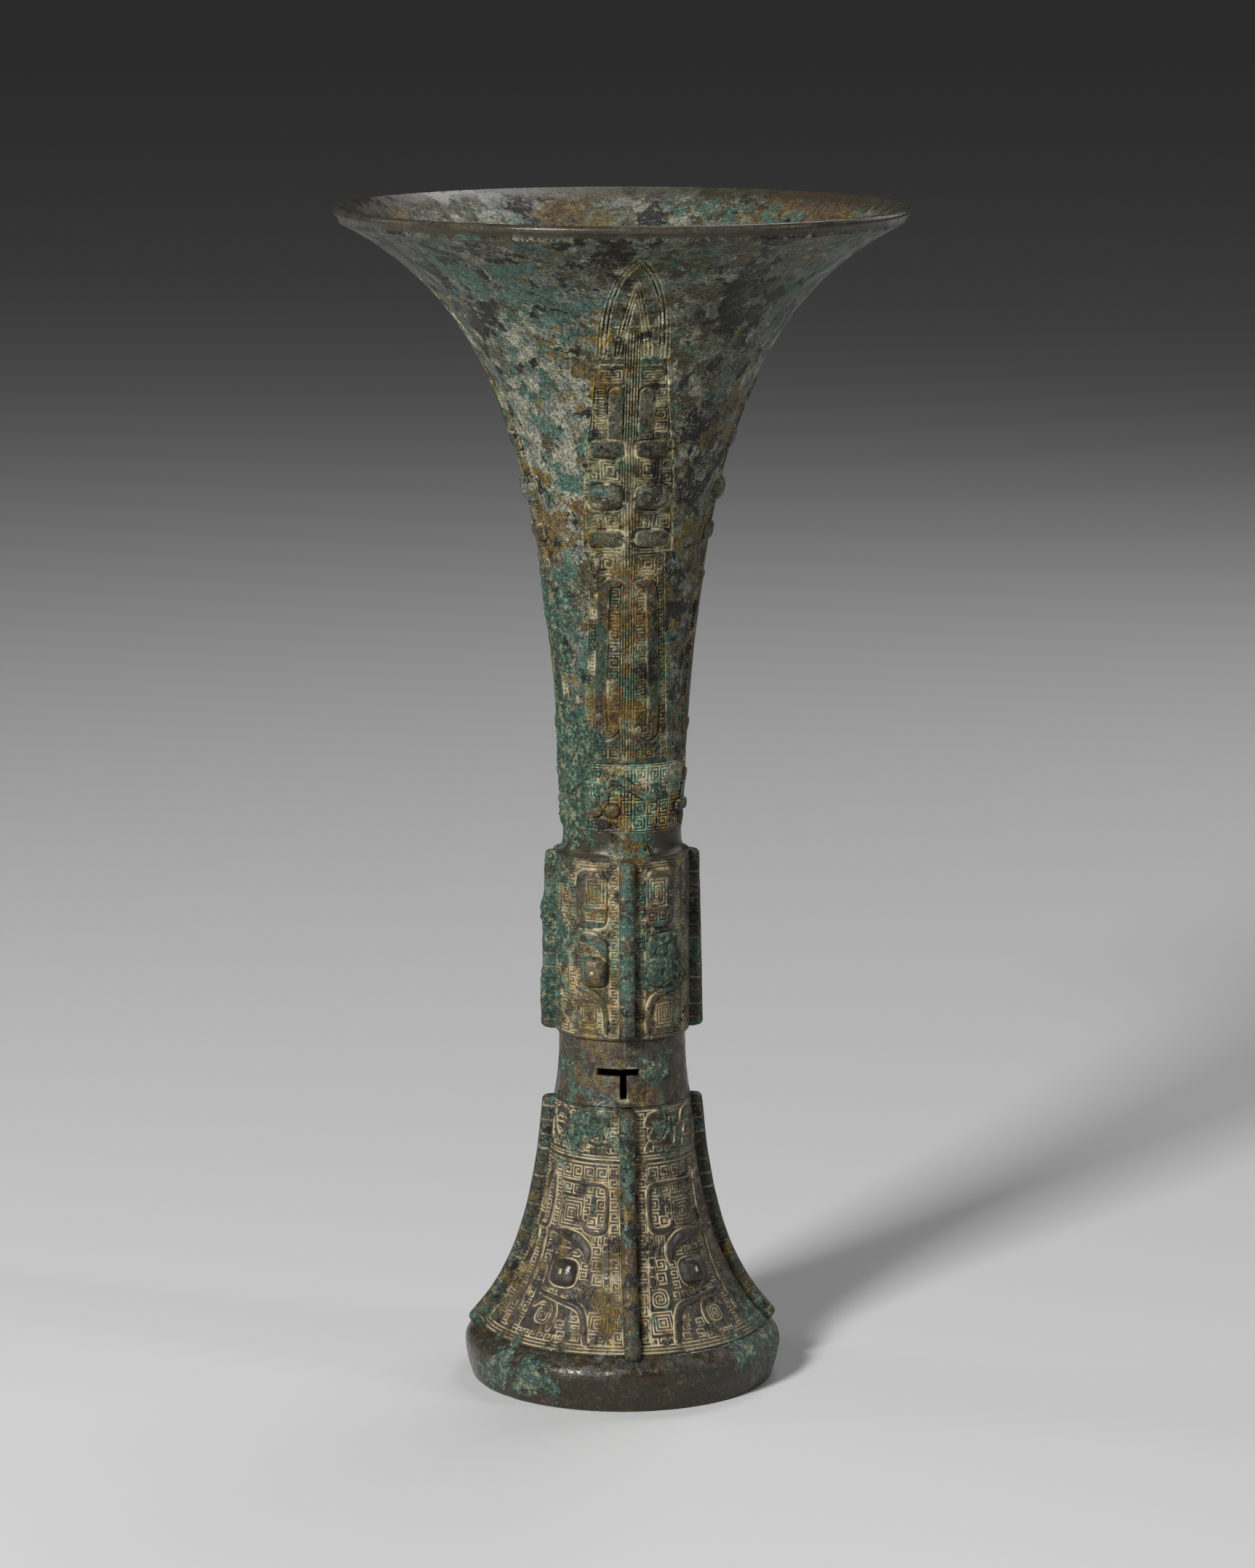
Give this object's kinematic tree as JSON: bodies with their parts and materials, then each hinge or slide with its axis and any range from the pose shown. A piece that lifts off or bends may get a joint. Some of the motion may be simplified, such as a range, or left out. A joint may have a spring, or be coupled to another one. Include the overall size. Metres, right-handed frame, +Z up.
{
  "type": "ritual beaker",
  "caption": "Slender cast bronze beaker with a trumpet mouth, flanged knop, slotted collar and splayed flanged foot, in low relief, made to hold wine and to stand on a table.",
  "frame": {"origin": "centre of the standing face of the foot ring", "axes": "+Z up along the axis of the vessel; the front flange and the front mask face -Y; +X is to the right of someone who faces the front"},
  "size_m": [0.1484, 0.1484, 0.31],
  "materials": {
    "mottled_bronze": "smooth old bronze mottled grey-green, teal and olive brown",
    "carved_bronze": "dark brown low relief with pale earth in the sunk lines",
    "brown_bronze": "polished dark brown patina with green spots",
    "green_bronze": "grey-green patina, worn brown at the edges"
  },
  "bodies": {
    "root": {"trumpet_mouth": "mottled_bronze", "cup_floor": "mottled_bronze", "knop_sleeve": "carved_bronze", "collar": "brown_bronze", "foot_skirt": "carved_bronze", "foot_ring": "brown_bronze", "knop_flange_front": "green_bronze", "foot_flange_front": "green_bronze", "blade_front": "mottled_bronze", "blade_eye_front_left": "mottled_bronze", "blade_eye_front_right": "mottled_bronze", "knop_flange_right": "green_bronze", "foot_flange_right": "green_bronze", "blade_right": "mottled_bronze", "blade_eye_right_left": "mottled_bronze", "blade_eye_right_right": "mottled_bronze", "knop_flange_back": "green_bronze", "foot_flange_back": "green_bronze", "blade_back": "mottled_bronze", "blade_eye_back_left": "mottled_bronze", "blade_eye_back_right": "mottled_bronze", "knop_flange_left": "green_bronze", "foot_flange_left": "green_bronze", "blade_left": "mottled_bronze", "blade_eye_left_left": "mottled_bronze", "blade_eye_left_right": "mottled_bronze", "knop_eye_front_left": "brown_bronze", "knop_eye_front_right": "brown_bronze", "knop_eye_back_left": "brown_bronze", "knop_eye_back_right": "brown_bronze", "foot_eye_front_left": "brown_bronze", "foot_eye_front_right": "brown_bronze", "foot_eye_back_left": "brown_bronze", "foot_eye_back_right": "brown_bronze", "knop_horn_front_left": "carved_bronze", "knop_horn_front_right": "carved_bronze", "knop_horn_back_left": "carved_bronze", "knop_horn_back_right": "carved_bronze", "knop_brow_front_left": "carved_bronze", "knop_brow_front_right": "carved_bronze", "knop_brow_back_left": "carved_bronze", "knop_brow_back_right": "carved_bronze", "knop_jaw_front_left": "carved_bronze", "knop_jaw_front_right": "carved_bronze", "knop_jaw_back_left": "carved_bronze", "knop_jaw_back_right": "carved_bronze", "foot_horn_front_left": "carved_bronze", "foot_horn_front_right": "carved_bronze", "foot_horn_back_left": "carved_bronze", "foot_horn_back_right": "carved_bronze", "foot_brow_front_left": "carved_bronze", "foot_brow_front_right": "carved_bronze", "foot_brow_back_left": "carved_bronze", "foot_brow_back_right": "carved_bronze", "foot_jaw_front_left": "carved_bronze", "foot_jaw_front_right": "carved_bronze", "foot_jaw_back_left": "carved_bronze", "foot_jaw_back_right": "carved_bronze"}
  },
  "joints": []
}
